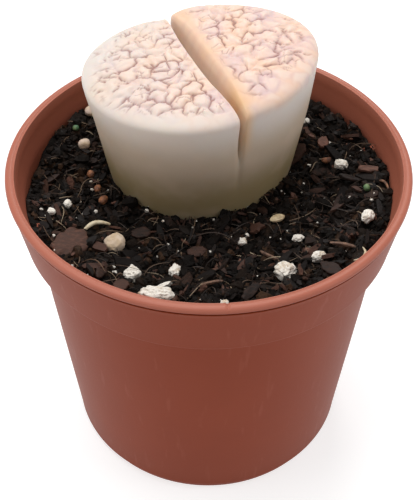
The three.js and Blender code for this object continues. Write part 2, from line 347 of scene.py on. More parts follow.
def stoneOutline(form):
    # the body's outline from crown to neck as [share of the full radius, height], evenly spaced in length:
    # a flattened dome down to the widest level, then a nearly straight flank that draws in to the neck
    share = np.linspace(0, 1, 400)
    dome = form["widest"] + (form["crown"] - form["widest"]) * (1 - share ** form["crownPower"]) ** (1 / 2.2)
    down = np.linspace(0, 1, 400)[1:]
    flankHeight = form["widest"] + (form["neck"] - form["widest"]) * down
    flankShare = 1 - (1 - form["neckShare"]) * down ** 1.15
    shares = np.concatenate([share, flankShare])
    heights = np.concatenate([dome, flankHeight])
    steps = np.hypot(np.diff(shares) * (form["halfLength"] + form["halfDepth"]) / 2, np.diff(heights))
    length = np.concatenate([[0], np.cumsum(steps)])
    even = np.linspace(0, length[-1], 800)
    return np.interp(even, length, shares), np.interp(even, length, heights)


def squareToDisc(across, along):
    # a square of parameters laid over a disc, with the middle lines kept straight
    return across * np.sqrt(1 - along ** 2 / 2), along * np.sqrt(1 - across ** 2 / 2)


def gridNormals(points):
    # unit normals of a grid of points, from the steps to the neighbours
    normal = np.cross(np.gradient(points, axis=1), np.gradient(points, axis=0))
    return normal / np.maximum(np.linalg.norm(normal, axis=-1, keepdims=True), 1e-9)


def stoneGrid(form):
    # for each grid point: s across the slit, its angle, and its share and height on the outline
    evenColumns = np.linspace(-1, 1, form["columns"])
    across = 0.5 * evenColumns + 0.5 * evenColumns ** 3
    s, t = np.meshgrid(across, np.linspace(-1, 1, form["rows"]))
    discX, discY = squareToDisc(s, t)
    # fine steps on top, long ones down the plain flank
    reach = np.hypot(discX, discY)
    reach = 0.42 * reach + 0.58 * reach ** 5
    shares, heights = stoneOutline(form)
    steps = np.linspace(0, 1, len(shares))
    return {"s": s, "angle": np.arctan2(discY, discX), "share": np.interp(reach, steps, shares),
            "height": np.interp(reach, steps, heights)}


def stoneBody(form, at):
    # the body before it is slit: x runs across the slit and y along it
    angle, height = at["angle"], at["height"]
    # each leaf bulges a little beyond the oval, and the ends of the slit pinch it
    outline = 1 - 0.027 * np.cos(2 * angle - 0.14) + 0.023 * np.cos(3 * angle - 0.48)
    outline = outline - 0.035 * bell(np.cos(angle), 0.16) * ramp(height, 47, 56)
    x = at["share"] * outline * form["halfLength"] * np.cos(angle)
    y = at["share"] * outline * form["halfDepth"] * np.sin(angle)
    side = np.tanh(x / 1.5)
    bow = form["slitBow"] * (1 - (y / form["halfDepth"]) ** 2) * ramp(height, 50, 57)
    x = x + bow * (1 - np.abs(at["s"]) ** 1.5)
    high = ramp(height, form["widest"] - 8, form["widest"] + 2)
    z = height + high * (form["lobeStep"] / 2 * side + form["leanBack"] * y + form["leanRight"] * x)
    at.update(x=x, y=y, z=z, high=high, away=x - bow)
    return softened(np.stack([x, y, z], -1), 2)


def cutSlit(form, at, base):
    # the surface drops to the slit's floor within a narrow band, with rounded edges
    away, y, z = at["away"], at["y"], at["z"]
    endward = np.abs(y) / form["halfDepth"]
    closing = 1 - 0.55 * ramp(endward, 0.35, 1.05)
    band = np.where(away < 0, form["slitLeft"], form["slitRight"]) * closing
    inBand = np.clip(1 - np.abs(away) / band, 0, 1)
    sink = np.where(away < 0, inBand ** 2.2, inBand ** 2.6)
    drop = np.clip(z - form["slitFloor"], 0, None)
    inward = 2.6 * ramp(z, form["slitFloor"] - 2.5, form["slitFloor"] + 4) * ramp(endward, 0.5, 0.95)
    base[..., 2] -= sink * drop
    base[..., 1] -= sink * inward * np.sign(y)
    # the leaves' tops curve down towards the slit
    base[..., 2] -= 0.45 * bell(away, 2.4) * at["high"] * (1 - sink)
    # a shallow crease carries on below the slit
    crease = bell(away, 0.5) * ramp(z, 44, 52) * ramp(endward, 0.6, 0.9)
    base[..., 1] += 0.25 * crease * np.sign(-y)
    at.update(band=band, inBand=inBand, sink=sink, drop=drop)


def nettedRelief(form, at, base):
    # the tops of the leaves: puffy islands parted by short broken lines
    x, y, height, away = at["x"], at["y"], at["height"], at["away"]
    level = np.zeros_like(x)
    flat = np.stack([x, y, level], -1)
    warp = np.stack([noise(flat, 2.6, 11), noise(flat, 2.6, 12), level], -1)
    warp = warp + 0.45 * np.stack([noise(flat, 0.9, 13), noise(flat, 0.9, 14), level], -1)
    near, second, tone = pebbleCells(flat + 0.75 * warp + (50, 50, 0), form["island"], 5, flat=True)
    edge = second - near
    smallPlace = flat + 0.4 * warp + (30, 10, 0)
    smallNear, smallSecond, _ = pebbleCells(smallPlace, form["island"] * 0.55, 9, flat=True)
    smallEdge = smallSecond - smallNear
    topShare = at["share"] + 0.04 * noise(flat, 3.0, 21) + 0.09 * ramp(-y / form["halfDepth"], 0.3, 0.9)
    face = (1 - ramp(topShare, 0.86, 0.97)) * (1 - ramp(at["inBand"], 0.0, 0.35))
    # the right leaf has a smooth margin along the slit
    margin = ramp(away, 0, 0.4) * (1 - ramp(away, 1.6, 3.4))
    face = face * (1 - 0.85 * margin) * ramp(height, form["widest"], form["widest"] + 0.5)
    face = face * ramp(np.abs(away), at["band"] * 0.9, at["band"] + 0.5)
    line = bell(edge, 0.085) * ramp(noise(flat + warp, 1.25, 31), -0.10, 0.22) * face
    shortLine = bell(smallEdge, 0.09) * ramp(noise(flat, 1.5, 33), 0.2, 0.45) * face
    line = np.maximum(line, 0.8 * shortLine)
    puff = form["islandHeight"] * np.clip(edge / 0.8, 0, 1) ** 0.7
    puff = puff + 0.10 * np.clip(smallEdge / 0.6, 0, 1) ** 0.7
    at.update(line=line, face=face, edge=edge, tone=tone, margin=margin, topShare=topShare)
    relief = face * (puff - form["islandHeight"] * 0.7) - form["lineDepth"] * line
    return relief + 0.06 * noise(base, 4.5, 41) + 0.015 * noise(base, 1.6, 42)


def makeStoneSurface(form):
    at = stoneGrid(form)
    base = stoneBody(form, at)
    cutSlit(form, at, base)
    base = base + gridNormals(base) * nettedRelief(form, at, base)[..., None]
    z, away = at["z"], at["away"]
    return base, {
        "line": at["line"],
        "island": ramp(at["edge"], 0.0, 0.6),
        "tone": at["tone"],
        "deep": at["sink"] * ramp(at["drop"], 0.2, 2.0),
        "margin": at["margin"] * (1 - ramp(at["topShare"], 0.93, 1.02)) * ramp(at["height"], 57, 59),
        "level": (z - 42) / 18,
        "frontSlit": bell(away - 0.7, 0.8) * ramp(-at["y"], 6, 10) * ramp(z, 51, 56),
    }


def softened(points, times):
    # a light smoothing of a grid of points that leaves its edge alone
    for _ in range(times):
        around = (points[2:, 1:-1] + points[:-2, 1:-1] + points[1:-1, 2:] + points[1:-1, :-2]) / 4
        points[1:-1, 1:-1] = (points[1:-1, 1:-1] + around) / 2
    return points


def borderLoop(rows, columns):
    # the numbers of a grid's border points, once round, anticlockwise seen from above
    numbers = np.arange(rows * columns).reshape(rows, columns)
    return np.concatenate([numbers[0, :-1], numbers[:-1, -1], numbers[-1, :0:-1], numbers[:0:-1, 0]])


def closedSheet(name, sheet, skirts, bottom, marks):
    # a grid surface closed below: its border is carried down through skirts, then to one point.
    # Each skirt is a rule that turns the border's points into the next ring
    rows, columns = sheet.shape[:2]
    points = [sheet.reshape(-1, 3)]
    faces = [gridQuads(rows, columns)]
    loop = borderLoop(rows, columns)
    ring = sheet.reshape(-1, 3)[loop]
    count = rows * columns
    for skirt in skirts:
        ring = skirt(ring)
        fresh = np.arange(len(loop)) + count
        faces.append(np.stack([loop, fresh, np.roll(fresh, -1), np.roll(loop, -1)], -1))
        points.append(ring)
        loop = fresh
        count += len(fresh)
    points.append(np.array([bottom]))
    faces.append(fan(loop, count)[:, ::-1])
    extra = count + 1 - rows * columns
    padded = {key: np.concatenate([values.ravel(), np.zeros(extra)]) for key, values in marks.items()}
    return makeMesh(name, np.concatenate(points), faces, padded)


def placeStone(points, form):
    turn = math.radians(form["turn"])
    x = points[..., 0] * math.cos(turn) - points[..., 1] * math.sin(turn)
    y = points[..., 0] * math.sin(turn) + points[..., 1] * math.cos(turn)
    return np.stack([x + form["centre"][0], y + form["centre"][1], points[..., 2]], -1)


def makeSkin():
    skin = Finish("succulent_skin")
    blush = skin.spread(skin.spots(5.0, 2.0), 0.38, 0.62)
    fine = skin.spots(0.5, 4.0)
    peach = (0.76, 0.52, 0.40)
    lilac = (0.64, 0.46, 0.45)
    cream = (0.80, 0.63, 0.54)
    top = skin.mix(blush, peach, lilac)
    top = skin.mix(skin.mark("island") * 0.75, top, cream)
    top = skin.mix(skin.mark("tone") * 0.25, top, (0.86, 0.60, 0.44))
    # the flank is painted darker towards the neck and lighter just under the top: painted shade for the
    # overhead light falling off down the sides
    flankHighPaintedLight = (0.68, 0.62, 0.57)
    flankMiddlePaintedShade = (0.56, 0.46, 0.35)
    flankLowPaintedShade = (0.34, 0.27, 0.14)
    flank = skin.mix(skin.spread(skin.mark("level"), 0.15, 0.55), flankLowPaintedShade, flankMiddlePaintedShade)
    flank = skin.mix(skin.spread(skin.mark("level"), 0.55, 0.9), flank, flankHighPaintedLight)
    flank = skin.mix(skin.spread(skin.spots(6.0, 2.0), 0.4, 0.7) * 0.3, flank, (0.72, 0.58, 0.45))
    body = skin.mix(skin.spread(skin.mark("level") + skin.spots(4.0, 2.0) * 0.12, 0.93, 1.10), flank, top)
    body = skin.mix(skin.mark("margin") * 0.60, body, (0.78, 0.50, 0.31))
    body = skin.mix(skin.mark("deep") * 0.85, body, (0.80, 0.76, 0.66))
    body = skin.mix(skin.mark("frontSlit") * 0.6, body, (0.72, 0.42, 0.17))
    body = skin.mix(skin.spread(fine, 0.62, 0.80) * 0.18, body, (0.45, 0.30, 0.26))
    body = skin.mix(skin.mark("line") * 0.85, body, (0.30, 0.13, 0.11))
    bumps = skin.bump(skin.spots(0.35, 3.0), 0.12, 0.05)
    return skin.shade({
        "Base Color": body,
        "Roughness": 0.46 + 0.12 * fine,
        "Normal": bumps,
        "Subsurface Weight": 0.22,
        "Subsurface Radius": (1.0, 0.5, 0.3),
        "Subsurface Scale": 0.0016,
        "Specular IOR Level": 0.35,
    })


stonePoints, stoneMarks = makeStoneSurface(stoneForm)
stonePoints = placeStone(stonePoints, stoneForm)
rootTip = nodeBox("living_stone")[0][2]
stoneMiddle = stonePoints[0].mean(0) * 0.5 + stonePoints[-1].mean(0) * 0.5


def towardsRoot(share, height):
    def rule(ring):
        centre = ring.mean(0)
        moved = centre + (ring - centre) * share
        moved[:, 2] = height
        return moved
    return rule


stoneSkirts = [towardsRoot(0.5, 32), towardsRoot(0.5, 28), towardsRoot(0.5, 22)]
livingStone = closedSheet("living_stone_body", stonePoints, stoneSkirts,
                          (stoneMiddle[0], stoneMiddle[1], rootTip), stoneMarks)
finishPiece(livingStone, makeSkin(), "succulent_skin", "living_stone")
print("living stone ready", len(livingStone.data.polygons))


potForm = {
    "columns": 300,
    "lipWidth": 1.3,
    "collarHeight": 9.0,
    "collarBottom": 25.9,
    "bodyTop": 24.4,
    "bodyBottom": 20.9,
    "wall": 0.9,
    "foot": 20.2,
    "footWidth": 1.4,
    "footHeight": 1.4,
    "baseTop": 2.8,
    "footGaps": (-37, 143),
    "footGapWidth": 6.0,
    "holes": 6,
    "holeRadius": 1.6,
    "holeCircle": 13.0,
    "ribs": (20, 110, 200, 290),
    "ribWidth": 0.8,
    "ribTop": 43.46,
    "gate": -85,  # a small nick in the lip
}


def arc(centreRadius, centreHeight, size, start, end, count):
    # points on a circle in the (radius, height) plane, angles in degrees
    angles = np.radians(np.linspace(start, end, count))
    return [(centreRadius + size * math.cos(a), centreHeight + size * math.sin(a)) for a in angles]


def straight(start, end, count):
    return [tuple(np.array(start) + (np.array(end) - start) * share) for share in np.linspace(0, 1, count)]


def potProfile(form, lip, height):
    # from the middle of the base's underside, out and up the outside, over the lip and down the inside
    step = height - form["collarHeight"]
    foot, collar = form["foot"], form["collarBottom"]
    footInner = foot - form["footWidth"]
    lipInner = lip - form["lipWidth"]
    bodyTop, bodyBottom = form["bodyTop"], form["bodyBottom"]
    topInner, bottomInner = bodyTop - form["wall"], bodyBottom - form["wall"]
    profile = straight((0, form["footHeight"]), (footInner - 0.2, form["footHeight"]), 12)
    profile += straight((footInner, form["footHeight"] - 0.2), (footInner, 0.1), 3)
    profile += straight((footInner + 0.15, 0), (foot - 0.25, 0), 4)
    profile += arc(foot - 0.25, 0.25, 0.25, -90, 0, 4)
    profile += straight((foot + 0.06, 0.9), (foot + 0.12, 1.15), 2)
    profile += arc(bodyBottom - 0.55, 1.75, 0.55, -60, 5, 6)
    profile += straight((bodyBottom + 0.03, 2.4), (bodyTop, step - 0.35), 22)
    profile += arc(bodyTop + 0.3, step - 0.3, 0.3, 180, 90, 4)
    profile += straight((bodyTop + 0.4, step), (collar - 0.3, step), 3)
    profile += arc(collar - 0.25, step + 0.25, 0.25, -90, -5, 4)
    profile += straight((collar + 0.02, step + 0.4), (lip - 0.28, height - 1.35), 12)
    profile += arc(lip - 0.33, height - 1.22, 0.1, 0, 120, 4)
    profile += [(lip - 0.46, height - 1.08), (lip - 0.42, height - 0.98)]
    profile += arc(lip - 0.5, height - 0.5, 0.5, -60, 90, 9)
    profile += straight((lip - 0.55, height), (lipInner + 0.42, height - 0.02), 3)
    profile += [(lipInner + 0.34, height - 0.09), (lipInner + 0.26, height - 0.09)]
    profile += arc(lipInner + 0.13, height - 0.12, 0.11, 60, 180, 5)
    profile += straight((lipInner - 0.03, height - 0.4), (lipInner - 0.3, height - 1.2), 3)
    profile += straight((lipInner - 0.34, height - 1.5), (collar - 0.7, step + 4.9), 5)
    profile += straight((collar - 0.71, step + 4.5), (collar - 0.71, step + 4.45), 2)
    profile += straight((collar - 0.72, step + 4.3), (collar - 0.75, step + 1.3), 5)
    profile += straight((bodyTop - 0.4, step + 0.6), (topInner, step - 0.4), 3)
    profile += straight((topInner - 0.02, step - 1), (bottomInner, 4.3), 14)
    profile += arc(bottomInner - 1.3, form["baseTop"] + 1.3, 1.3, -5, -90, 6)
    profile += straight((bottomInner - 1.8, form["baseTop"]), (0, form["baseTop"]), 12)
    return np.array(profile)


def potAngles(form):
    # even columns, with close pairs where the foot's gaps start and stop and at the ribs' sides
    angles = list(np.linspace(-180, 180, form["columns"], endpoint=False))
    gapHalf = math.degrees(form["footGapWidth"] / 2 / form["foot"])
    for middle in form["footGaps"]:
        for edge in (middle - gapHalf, middle + gapHalf):
            angles += [edge - 0.06, edge + 0.06]
    ribHalf = math.degrees(form["ribWidth"] / 2 / 24)
    for rib in form["ribs"]:
        angles += [rib + share * ribHalf for share in (-1.15, -0.95, -0.8, 0, 0.8, 0.95, 1.15)]
    angles += [form["gate"] + share for share in (-0.9, -0.6, -0.3, 0.0, 0.3, 0.6, 0.9)]
    wrapped = (np.array(angles) + 180) % 360 - 180
    return np.unique(np.round(wrapped, 4)), gapHalf, ribHalf


def angleFrom(angles, middle):
    return (angles - middle + 180) % 360 - 180


def makePotSurface(form):
    low, high = nodeBox("pot")
    profile = potProfile(form, (high[0] - low[0]) / 2, high[2])
    angles, gapHalf, ribHalf = potAngles(form)
    radius, around = np.meshgrid(profile[:, 0], angles, indexing="ij")
    height = np.repeat(profile[:, 1:], len(angles), axis=1)
    for middle in form["footGaps"]:
        inGap = np.abs(angleFrom(around, middle)) < gapHalf
        height = np.where(inGap & (height < form["footHeight"]), form["footHeight"] + 0.001 * height, height)
    stepHeight = high[2] - form["collarHeight"]
    inside = (np.arange(len(profile)) > np.argmax(profile[:, 0] * (profile[:, 1] > high[2] - 0.6)))[:, None]
    for rib in form["ribs"]:
        onRib = 1 - ramp(np.abs(angleFrom(around, rib)), ribHalf * 0.85, ribHalf * 1.1)
        tall = (height < form["ribTop"]) & (height > stepHeight + 0.5) & inside
        ribFace = form["bodyTop"] - form["wall"] + 0.25
        radius = np.where(tall, radius + (np.minimum(radius, ribFace) - radius) * onRib, radius)
    atLip = ramp(height, high[2] - 0.5, high[2] - 0.1)
    height = height - 0.16 * atLip * bell(angleFrom(around, form["gate"]), 0.35)
    # the thin wall is never perfectly round
    swing = np.radians(around)
    upward = height / high[2]
    radius = radius - 0.05 * upward * (1 + np.cos(3 * swing + 0.7)) * (radius > 3)
    x = radius * np.cos(swing)
    y = radius * np.sin(swing)
    return np.stack([x, y, height], -1)


def drillMesh(form):
    # an upright closed prism where each drain hole goes
    sides = 28
    ring = np.arange(sides)
    following = np.roll(ring, -1)
    prism = [fan(ring, 2 * sides)[:, ::-1], fan(ring + sides, 2 * sides + 1),
             np.stack([ring, following, following + sides], -1),
             np.stack([ring, following + sides, ring + sides], -1)]
    swing = np.linspace(0, turnFull, sides, endpoint=False)
    circle = form["holeRadius"] * np.stack([np.cos(swing), np.sin(swing)], -1)
    points = []
    faces = []
    for i in range(form["holes"]):
        middle = turnFull * i / form["holes"]
        rim = form["holeCircle"] * np.array([math.cos(middle), math.sin(middle)]) + circle
        ends = np.array([[*rim.mean(0), -2.0], [*rim.mean(0), 6.0]])
        points += [np.column_stack([rim, np.full(sides, level)]) for level in (-2.0, 6.0)] + [ends]
        faces += [group + i * (2 * sides + 2) for group in prism]
    return makeMesh("drill", np.concatenate(points), faces)


def potMesh(form):
    grid = makePotSurface(form)
    rows, columns = grid.shape[:2]
    body = grid[1:-1].reshape(-1, 3)
    points = np.concatenate([body, [grid[0].mean(0)], [grid[-1].mean(0)]])
    quads = gridQuads(rows - 2, columns, wrapColumns=True)
    first = np.arange(columns)
    last = first + (rows - 3) * columns
    under = fan(first, len(body))[:, ::-1]
    inside = fan(last, len(body) + 1)
    piece = makeMesh("nursery_pot", points, [quads, under, inside])
    drill = drillMesh(form)
    cut = piece.modifiers.new("holes", "BOOLEAN")
    cut.object = drill
    cut.operation = "DIFFERENCE"
    cut.solver = "EXACT"
    evaluated = piece.evaluated_get(bpy.context.evaluated_depsgraph_get())
    cutMesh = bpy.data.meshes.new_from_object(evaluated)
    piece.modifiers.clear()
    piece.data = cutMesh
    bpy.data.objects.remove(drill)
    piece.data.shade_smooth()
    return piece


def makePotPlastic():
    plastic = Finish("pot_plastic")
    cloud = plastic.spread(plastic.spots(14.0, 3.0), 0.35, 0.7)
    grain = plastic.spots(0.28, 3.0, 0.6)
    stretch = plastic.node("ShaderNodeMapping", None, {"Vector": plastic.place, "Scale": (1, 1, 0.12)})
    scuff = plastic.node("ShaderNodeTexNoise", None, {"Vector": stretch, "Scale": metre / 1.1, "Detail": 5.0})
    scuffs = plastic.spread(scuff, 0.60, 0.74)
    colour = plastic.mix(cloud * 0.35, (0.212, 0.034, 0.0095), (0.245, 0.042, 0.013))
    colour = plastic.mix(scuffs * 0.12, colour, (0.36, 0.11, 0.07))
    height = plastic.node("ShaderNodeSeparateXYZ", None, {"Vector": plastic.place}, output="Z")
    top = nodeBox("pot")[1][2] / metre
    # the rim's top face is painted paler: a painted highlight where the lamps catch the lip
    lip = plastic.spread(height, top - 0.0009, top - 0.0002)
    colour = plastic.mix(lip * 0.65, colour, (0.52, 0.19, 0.135))
    # the inside of the collar is painted paler, a painted highlight where the inner wall catches the light:
    # how far a place lies inside the outer slope
    across = plastic.node("ShaderNodeVectorMath", {"operation": "MULTIPLY"}, {0: plastic.place, 1: (1, 1, 0)})
    radius = plastic.node("ShaderNodeVectorMath", {"operation": "LENGTH"}, {0: across}, output="Value")
    slope = 0.0259 + (height - 0.0394) * 0.179
    inside = plastic.spread(slope - radius, 0.0003, 0.0005) * plastic.spread(height, 0.039, 0.0395)
    colour = plastic.mix(inside * 0.6, colour, (0.42, 0.15, 0.10))
    dust = plastic.spread(plastic.spots(0.6, 4.0), 0.60, 0.72)
    colour = plastic.mix(dust * plastic.spread(height, 0.030, top) * 0.10, colour, (0.16, 0.08, 0.05))
    bumps = plastic.bump(grain, 0.10, 0.05)
    bumps = plastic.bump(scuff, 0.05, 0.05, bumps)
    return plastic.shade({
        "Base Color": colour,
        "Roughness": 0.42 + 0.10 * grain - 0.05 * scuffs - 0.16 * lip,
        "Normal": bumps,
        "Specular IOR Level": 0.11,
    })


nurseryPot = potMesh(potForm)
finishPiece(nurseryPot, makePotPlastic(), "pot_plastic", "pot")
print("pot ready", len(nurseryPot.data.polygons))


mixForm = {
    "grid": 300,
    "level": 41.9,
    "rise": 2.2,
    "radius": 25.1,
    "crumbs": 3600,
    "flakes": 1700,
    "fibres": 520,
    "specks": 150,
}


def mixHeight(x, y):
    # the broad shape: level round the plant, higher at the wall, hollow at the left
    radius = np.hypot(x, y)
    towardsWall = ramp(radius, 14, 24)
    hollow = 3 * np.exp(-((x + 21.5) ** 2 + (y - 2) ** 2) / 22)
    bumps = 0.35 * np.sin(0.9 * x + 1.3) * np.cos(1.1 * y) + 0.25 * np.sin(1.7 * x - 0.8 * y)
    return mixForm["level"] + mixForm["rise"] * towardsWall - hollow + bumps


def mixRelief(x, y):
    # lumps, cracks and grit on top of the broad shape
    flat = np.stack([x, y, np.zeros_like(x)], -1)
    near, second, tone = pebbleCells(flat + 0.6 * noise(flat, 1.5, 3)[..., None], 1.7, 21, flat=True)
    lumps = 0.75 * (1 - near) * (0.3 + tone)
    fineNear, fineSecond, fineTone = pebbleCells(flat, 0.7, 27, flat=True)
    grit = 0.22 * (1 - fineNear) * (0.3 + fineTone)
    return lumps + grit + 0.50 * fractal(flat, 3.0, 5, 4) - 0.95, tone


def makeMixSurface(form):
    even = np.linspace(-1, 1, form["grid"])
    s, t = np.meshgrid(even, even)
    discX, discY = squareToDisc(s, t)
    x = discX * form["radius"]
    y = discY * form["radius"]
    relief, tone = mixRelief(x, y)
    z = mixHeight(x, y) + relief
    return np.stack([x, y, z], -1), {"tone": tone}


def skirtRule(radius, height):
    def rule(ring):
        length = np.hypot(ring[:, 0], ring[:, 1])[:, None]
        flat = ring[:, :2] / length * radius
        return np.column_stack([flat, np.full(len(ring), float(height))])
    return rule


def makePeat(name):
    peat = Finish(name)
    tone = peat.mark("tone")
    patch = peat.spots(2.2, 4.0)
    fine = peat.spots(0.35, 4.0, 0.65)
    stops = [(0.0, (0.002, 0.0012, 0.0008)), (0.50, (0.005, 0.0027, 0.0014)), (0.70, (0.014, 0.007, 0.0035)),
             (0.84, (0.060, 0.029, 0.014)), (1.0, (0.16, 0.085, 0.045))]
    value = (tone * 0.55 + fine * 0.35 + patch * 0.25).clamped()
    colour = peat.node("ShaderNodeValToRGB", {"stops": stops}, {"Fac": value - 0.05})
    bumps = peat.bump(fine, 0.7, 0.25)
    bumps = peat.bump(peat.spots(0.12, 2.0), 0.4, 0.08, bumps)
    return peat.shade({
        "Base Color": colour,
        "Roughness": 0.80 - peat.spread(patch, 0.5, 0.7) * 0.42,
        "Normal": bumps,
        "Specular IOR Level": 0.18,
    })


mixSheet, mixMarks = makeMixSurface(mixForm)
mixSkirts = [skirtRule(24.7, 40.9), skirtRule(23.1, 38.6), skirtRule(19.6, 4.4), skirtRule(18.6, 3.1)]
pottingMix = closedSheet("potting_mix_bed", mixSheet, mixSkirts, (0, 0, 3.1), mixMarks)
peatMaterial = makePeat("peat_mix")
finishPiece(pottingMix, peatMaterial, "peat_mix", "potting_mix")
print("mix ready", len(pottingMix.data.polygons))


looseNodes = sorted(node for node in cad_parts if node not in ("pot", "potting_mix", "living_stone"))


def randomTurns(random, count, tiltLimit):
    # turn matrices (n x 3 x 3): any way round, and tilted by up to tiltLimit degrees
    yaw = random.uniform(0, turnFull, count)
    tilt = np.radians(random.uniform(-tiltLimit, tiltLimit, count))
    roll = np.radians(random.uniform(-tiltLimit, tiltLimit, count))
    one = np.ones(count)
    nil = np.zeros(count)
    turnZ = np.array([[np.cos(yaw), -np.sin(yaw), nil], [np.sin(yaw), np.cos(yaw), nil], [nil, nil, one]])
    turnY = np.array([[np.cos(tilt), nil, np.sin(tilt)], [nil, one, nil], [-np.sin(tilt), nil, np.cos(tilt)]])
    turnX = np.array([[one, nil, nil], [nil, np.cos(roll), -np.sin(roll)], [nil, np.sin(roll), np.cos(roll)]])
    turnZ, turnY, turnX = (np.moveaxis(turn, 2, 0) for turn in (turnZ, turnY, turnX))
    return turnZ @ turnY @ turnX


def stoneFoot(x, y, clearance):
    # True where a place is under the living stone's foot
    turn = math.radians(stoneForm["turn"])
    dx = x - stoneForm["centre"][0]
    dy = y - stoneForm["centre"][1]
    long = dx * math.cos(turn) + dy * math.sin(turn)
    deep = -dx * math.sin(turn) + dy * math.cos(turn)
    footLong = stoneForm["halfLength"] * 0.80 + clearance
    footDeep = stoneForm["halfDepth"] * 0.80 + clearance
    return (long / footLong) ** 2 + (deep / footDeep) ** 2 < 1


def underPieces(x, y):
    # True where a place is covered by one of the named loose pieces
    covered = np.zeros(x.shape, bool)
    for node in looseNodes:
        low, high = nodeBox(node)
        middle = (low + high) / 2
        half = (high - low) / 2 + 0.25
        covered |= ((x - middle[0]) / half[0]) ** 2 + ((y - middle[1]) / half[1]) ** 2 < 1
    return covered


def scatterPlaces(random, count, reach, clearance=-0.2):
    # places on the mix inside a circle, off the stone's foot
    radius = reach * np.sqrt(random.uniform(0, 1, count * 3))
    angle = random.uniform(0, turnFull, count * 3)
    x = radius * np.cos(angle)
    y = radius * np.sin(angle)
    free = ~stoneFoot(x, y, clearance) & ~underPieces(x, y)
    x = x[free][:count]
    y = y[free][:count]
    relief, _ = mixRelief(x, y)
    return np.stack([x, y, mixHeight(x, y) + relief], -1)


def repeated(name, shape, faces, scales, turns, places, marks):
    # many copies of one small closed shape: shape is (copies x points x 3), already varied
    copies, corners = shape.shape[:2]
    sized = shape * scales[:, None, :]
    turned = np.einsum("nij,nkj->nki", turns, sized)
    points = (turned + places[:, None, :]).reshape(-1, 3)
    offsets = (np.arange(copies) * corners)[:, None, None]
    allFaces = (faces[None] + offsets).reshape(-1, faces.shape[1])
    spread = {key: np.repeat(values, corners) for key, values in marks.items()}
    return makeMesh(name, points, [allFaces], spread, smooth=False)


def ballShape(rings, segments):
    # a ball of rings x segments points with a point at each pole; returns its points and triangles
    rise = np.linspace(-math.pi / 2, math.pi / 2, rings + 2)[1:-1]
    swing = np.linspace(0, turnFull, segments, endpoint=False)
    up, around = np.meshgrid(rise, swing, indexing="ij")
    body = np.stack([np.cos(up) * np.cos(around), np.cos(up) * np.sin(around), np.sin(up)], -1).reshape(-1, 3)
    points = np.concatenate([body, [[0, 0, -1], [0, 0, 1]]])
    quads = gridQuads(rings, segments, wrapColumns=True)
    faces = np.concatenate([quads[:, [0, 1, 2]], quads[:, [0, 2, 3]]])
    low = fan(np.arange(segments), len(body))[:, ::-1]
    high = fan(np.arange(segments) + (rings - 1) * segments, len(body) + 1)
    return points, np.concatenate([faces, low, high])


def roughCopies(random, shape, count, roughness):
    return shape[None] * (1 + random.uniform(-roughness, roughness, (count, len(shape), 1)))


def makeCrumbs(random):
    count = mixForm["crumbs"]
    shape, faces = ballShape(3, 6)
    places = scatterPlaces(random, count, 24.9)
    count = len(places)
    size = np.exp(random.normal(-1.15, 0.42, count))
    scales = size[:, None] * random.uniform(0.7, 1.25, (count, 3))
    places[:, 2] += 0.25 * size
    keepInside(places, size)
    tone = random.uniform(0, 1, count) ** 1.6
    piece = repeated("peat_crumbs", roughCopies(random, shape, count, 0.28), faces, scales,
                     randomTurns(random, count, 180), places, {"tone": tone})
    return finishPiece(piece, peatMaterial, "peat_mix")


def keepInside(places, reach):
    # pulls places back so that pieces of a given reach stay clear of the pot's wall
    radius = np.hypot(places[:, 0], places[:, 1])
    limit = 25.2 - reach
    share = np.minimum(1, limit / np.maximum(radius, 1e-6))
    places[:, 0] *= share
    places[:, 1] *= share


def makeFlakes(random):
    # broken bark and wood: flat pieces with blunt, torn ends
    count = mixForm["flakes"]
    outline = np.linspace(0, turnFull, 8, endpoint=False)
    rim = np.stack([np.cos(outline), np.sin(outline), np.zeros(8)], -1)
    shape = np.concatenate([rim + (0, 0, -1), rim + (0, 0, 1), [[0, 0, -1.1], [0, 0, 1.1]]])
    ring = np.arange(8)
    sides = np.concatenate([np.stack([ring, np.roll(ring, -1), np.roll(ring, -1) + 8], -1),
                            np.stack([ring, np.roll(ring, -1) + 8, ring + 8], -1)])
    faces = np.concatenate([sides, fan(ring, 16)[:, ::-1], fan(ring + 8, 17)])
    places = scatterPlaces(random, count, 24.2)
    count = len(places)
    length = np.exp(random.normal(-0.42, 0.48, count))
    width = length * random.uniform(0.14, 0.50, count)
    thick = np.clip(width * 0.35, 0.05, 0.22)
    keepInside(places, length * 0.9)
    places[:, 2] += 0.18 + 0.12 * length
    copies = np.repeat(shape[None], count, 0)
    ragged = random.uniform(0.72, 1.15, (count, 8, 1))
    copies[:, :8, :2] *= ragged
    copies[:, 8:16, :2] *= ragged * random.uniform(0.9, 1.0, (count, 8, 1))
    tone = random.uniform(0, 1, count) ** 1.9
    piece = repeated("bark_flakes", copies, faces, np.stack([length, width, thick], -1),
                     randomTurns(random, count, 42), places, {"tone": tone})
    return finishPiece(piece, makeBark("bark_flake"), "bark")


